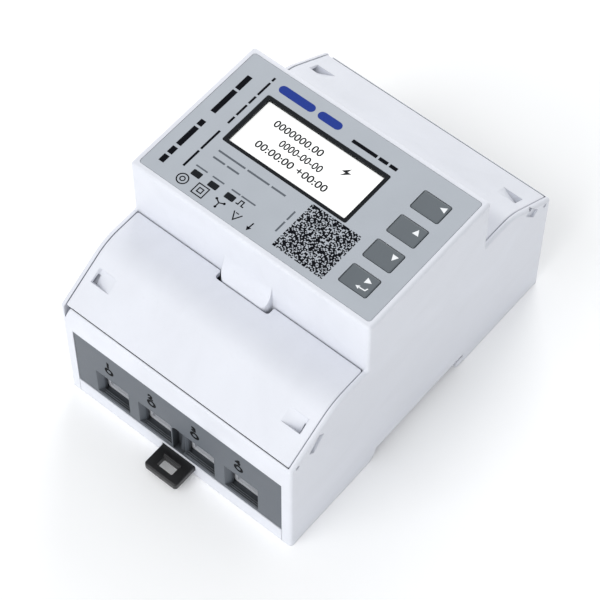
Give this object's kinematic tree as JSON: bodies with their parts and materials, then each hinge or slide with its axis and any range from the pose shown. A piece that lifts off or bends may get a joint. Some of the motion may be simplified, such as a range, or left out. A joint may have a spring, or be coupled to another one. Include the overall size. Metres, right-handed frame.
{
  "type": "din rail electricity meter",
  "caption": "Modular three-phase energy meter for a 35 mm rail, with hinged terminal covers, cage clamps, display, keys and a sprung rail clip.",
  "frame": {"origin": "centre of the DIN rail seat: middle of the width and length, on the plane that the rail's front face rests against, 4 mm in front of the back plane", "axes": "+Z out of the front panel, +Y towards the top edge of the panel as it is read, +X to its right"},
  "size_m": [0.072, 0.1072, 0.066],
  "materials": {
    "housing_white": "satin",
    "terminal_grey": "satin",
    "clip_black": "satin",
    "spring_steel": "drawn",
    "clamp_steel": "zinc plated",
    "fastener_steel": "zinc plated",
    "busbar_tinned": "tinned copper",
    "clamp_brass": "plain",
    "ct_case": "satin",
    "board_green": "solder mask",
    "component_black": "moulded",
    "transformer_case": "potted",
    "capacitor_can": "sleeved",
    "battery_can": "plain",
    "spacer_nylon": "natural",
    "label_grey": "fine satin film",
    "bezel_dark": "satin",
    "window_clear": "clear",
    "display_face": "liquid crystal cell",
    "backlight_white": "light guide",
    "key_grey": "satin",
    "plunger_yellow": "moulded",
    "lens_dark": "smoked",
    "led_white": "moulded"
  },
  "bodies": {
    "case": {"main_case": "housing_white", "back_plate": "housing_white", "lower_terminal_block": "terminal_grey", "upper_terminal_block": "terminal_grey", "aux_terminal_block": "terminal_grey", "clip_spring": "spring_steel", "aux_screws": "clamp_steel", "case_screws": "fastener_steel", "stack_screws": "fastener_steel", "busbars": "busbar_tinned", "voltage_taps": "busbar_tinned", "aux_clamps": "clamp_brass", "current_transformers": "ct_case", "main_board": "board_green", "panel_board": "board_green", "chips": "component_black", "board_header": "component_black", "switch_bodies": "component_black", "power_transformer": "transformer_case", "capacitors": "capacitor_can", "clock_battery": "battery_can", "stack_spacers": "spacer_nylon", "panel_label": "label_grey", "display_bezel": "bezel_dark", "display_window": "window_clear", "display_cell": "display_face", "display_backlight": "backlight_white", "lamp_lenses": "lens_dark", "lamp_leds": "led_white"},
    "lower_cover": {"lower_cover": "housing_white"},
    "upper_cover": {"upper_cover": "housing_white"},
    "rail_clip": {"din_clip": "clip_black"},
    "key_1": {"key_1": "key_grey"},
    "switch_plunger_1": {"switch_plunger_1": "plunger_yellow"},
    "key_2": {"key_2": "key_grey"},
    "switch_plunger_2": {"switch_plunger_2": "plunger_yellow"},
    "key_3": {"key_3": "key_grey"},
    "switch_plunger_3": {"switch_plunger_3": "plunger_yellow"},
    "key_4": {"key_4": "key_grey"},
    "switch_plunger_4": {"switch_plunger_4": "plunger_yellow"},
    "lower_screw_1": {"lower_screw_1": "clamp_steel"},
    "lower_cage_1": {"lower_cage_1": "clamp_steel"},
    "lower_screw_2": {"lower_screw_2": "clamp_steel"},
    "lower_cage_2": {"lower_cage_2": "clamp_steel"},
    "lower_screw_3": {"lower_screw_3": "clamp_steel"},
    "lower_cage_3": {"lower_cage_3": "clamp_steel"},
    "lower_screw_4": {"lower_screw_4": "clamp_steel"},
    "lower_cage_4": {"lower_cage_4": "clamp_steel"},
    "upper_screw_1": {"upper_screw_1": "clamp_steel"},
    "upper_cage_1": {"upper_cage_1": "clamp_steel"},
    "upper_screw_2": {"upper_screw_2": "clamp_steel"},
    "upper_cage_2": {"upper_cage_2": "clamp_steel"},
    "upper_screw_3": {"upper_screw_3": "clamp_steel"},
    "upper_cage_3": {"upper_cage_3": "clamp_steel"},
    "upper_screw_4": {"upper_screw_4": "clamp_steel"},
    "upper_cage_4": {"upper_cage_4": "clamp_steel"}
  },
  "joints": [
    {"name": "lower_cover_hinge", "type": "hinge", "parent": "case", "child": "lower_cover", "pos_m": [0, -0.0476, 0.03305], "axis": [1, 0, 0], "range_deg": [0, 75]},
    {"name": "upper_cover_hinge", "type": "hinge", "parent": "case", "child": "upper_cover", "pos_m": [0, 0.0476, 0.03305], "axis": [-1, 0, 0], "range_deg": [0, 75]},
    {"name": "rail_clip_slide", "type": "slide", "parent": "case", "child": "rail_clip", "axis": [0, -1, 0], "range_m": [0, 0.0035], "stiffness_N_per_m": 60, "springref_m": -0.0005, "deforming": ["clip_spring"]},
    {"name": "key_1_press", "type": "slide", "parent": "case", "child": "key_1", "axis": [0, 0, -1], "range_m": [0, 0.0004], "stiffness_N_per_m": 60, "springref_m": -0.00006},
    {"name": "switch_1_press", "type": "slide", "parent": "case", "child": "switch_plunger_1", "axis": [0, 0, -1], "range_m": [0, 0.0004]},
    {"name": "key_2_press", "type": "slide", "parent": "case", "child": "key_2", "axis": [0, 0, -1], "range_m": [0, 0.0004], "stiffness_N_per_m": 60, "springref_m": -0.00006},
    {"name": "switch_2_press", "type": "slide", "parent": "case", "child": "switch_plunger_2", "axis": [0, 0, -1], "range_m": [0, 0.0004]},
    {"name": "key_3_press", "type": "slide", "parent": "case", "child": "key_3", "axis": [0, 0, -1], "range_m": [0, 0.0004], "stiffness_N_per_m": 60, "springref_m": -0.00006},
    {"name": "switch_3_press", "type": "slide", "parent": "case", "child": "switch_plunger_3", "axis": [0, 0, -1], "range_m": [0, 0.0004]},
    {"name": "key_4_press", "type": "slide", "parent": "case", "child": "key_4", "axis": [0, 0, -1], "range_m": [0, 0.0004], "stiffness_N_per_m": 60, "springref_m": -0.00006},
    {"name": "switch_4_press", "type": "slide", "parent": "case", "child": "switch_plunger_4", "axis": [0, 0, -1], "range_m": [0, 0.0004]},
    {"name": "lower_screw_1_turn", "type": "hinge", "parent": "case", "child": "lower_screw_1", "pos_m": [-0.0207, -0.0425, 0.02], "axis": [0, 0, -1], "range_deg": [0, 2880]},
    {"name": "lower_cage_1_rise", "type": "slide", "parent": "case", "child": "lower_cage_1", "axis": [0, 0, 1], "range_m": [0, 0.0064]},
    {"name": "lower_screw_2_turn", "type": "hinge", "parent": "case", "child": "lower_screw_2", "pos_m": [-0.0069, -0.0425, 0.02], "axis": [0, 0, -1], "range_deg": [0, 2880]},
    {"name": "lower_cage_2_rise", "type": "slide", "parent": "case", "child": "lower_cage_2", "axis": [0, 0, 1], "range_m": [0, 0.0064]},
    {"name": "lower_screw_3_turn", "type": "hinge", "parent": "case", "child": "lower_screw_3", "pos_m": [0.0069, -0.0425, 0.02], "axis": [0, 0, -1], "range_deg": [0, 2880]},
    {"name": "lower_cage_3_rise", "type": "slide", "parent": "case", "child": "lower_cage_3", "axis": [0, 0, 1], "range_m": [0, 0.0064]},
    {"name": "lower_screw_4_turn", "type": "hinge", "parent": "case", "child": "lower_screw_4", "pos_m": [0.0207, -0.0425, 0.02], "axis": [0, 0, -1], "range_deg": [0, 2880]},
    {"name": "lower_cage_4_rise", "type": "slide", "parent": "case", "child": "lower_cage_4", "axis": [0, 0, 1], "range_m": [0, 0.0064]},
    {"name": "upper_screw_1_turn", "type": "hinge", "parent": "case", "child": "upper_screw_1", "pos_m": [-0.0207, 0.04, 0.02], "axis": [0, 0, -1], "range_deg": [0, 2880]},
    {"name": "upper_cage_1_rise", "type": "slide", "parent": "case", "child": "upper_cage_1", "axis": [0, 0, 1], "range_m": [0, 0.0064]},
    {"name": "upper_screw_2_turn", "type": "hinge", "parent": "case", "child": "upper_screw_2", "pos_m": [-0.0069, 0.04, 0.02], "axis": [0, 0, -1], "range_deg": [0, 2880]},
    {"name": "upper_cage_2_rise", "type": "slide", "parent": "case", "child": "upper_cage_2", "axis": [0, 0, 1], "range_m": [0, 0.0064]},
    {"name": "upper_screw_3_turn", "type": "hinge", "parent": "case", "child": "upper_screw_3", "pos_m": [0.0069, 0.04, 0.02], "axis": [0, 0, -1], "range_deg": [0, 2880]},
    {"name": "upper_cage_3_rise", "type": "slide", "parent": "case", "child": "upper_cage_3", "axis": [0, 0, 1], "range_m": [0, 0.0064]},
    {"name": "upper_screw_4_turn", "type": "hinge", "parent": "case", "child": "upper_screw_4", "pos_m": [0.0207, 0.04, 0.02], "axis": [0, 0, -1], "range_deg": [0, 2880]},
    {"name": "upper_cage_4_rise", "type": "slide", "parent": "case", "child": "upper_cage_4", "axis": [0, 0, 1], "range_m": [0, 0.0064]}
  ],
  "couplings": [
    {"joint": "switch_1_press", "follows": "key_1_press", "ratio": 1},
    {"joint": "switch_2_press", "follows": "key_2_press", "ratio": 1},
    {"joint": "switch_3_press", "follows": "key_3_press", "ratio": 1},
    {"joint": "switch_4_press", "follows": "key_4_press", "ratio": 1},
    {"joint": "lower_screw_1_turn", "follows": "lower_cage_1_rise", "rad_per_m": 7854},
    {"joint": "lower_screw_2_turn", "follows": "lower_cage_2_rise", "rad_per_m": 7854},
    {"joint": "lower_screw_3_turn", "follows": "lower_cage_3_rise", "rad_per_m": 7854},
    {"joint": "lower_screw_4_turn", "follows": "lower_cage_4_rise", "rad_per_m": 7854},
    {"joint": "upper_screw_1_turn", "follows": "upper_cage_1_rise", "rad_per_m": 7854},
    {"joint": "upper_screw_2_turn", "follows": "upper_cage_2_rise", "rad_per_m": 7854},
    {"joint": "upper_screw_3_turn", "follows": "upper_cage_3_rise", "rad_per_m": 7854},
    {"joint": "upper_screw_4_turn", "follows": "upper_cage_4_rise", "rad_per_m": 7854}
  ]
}
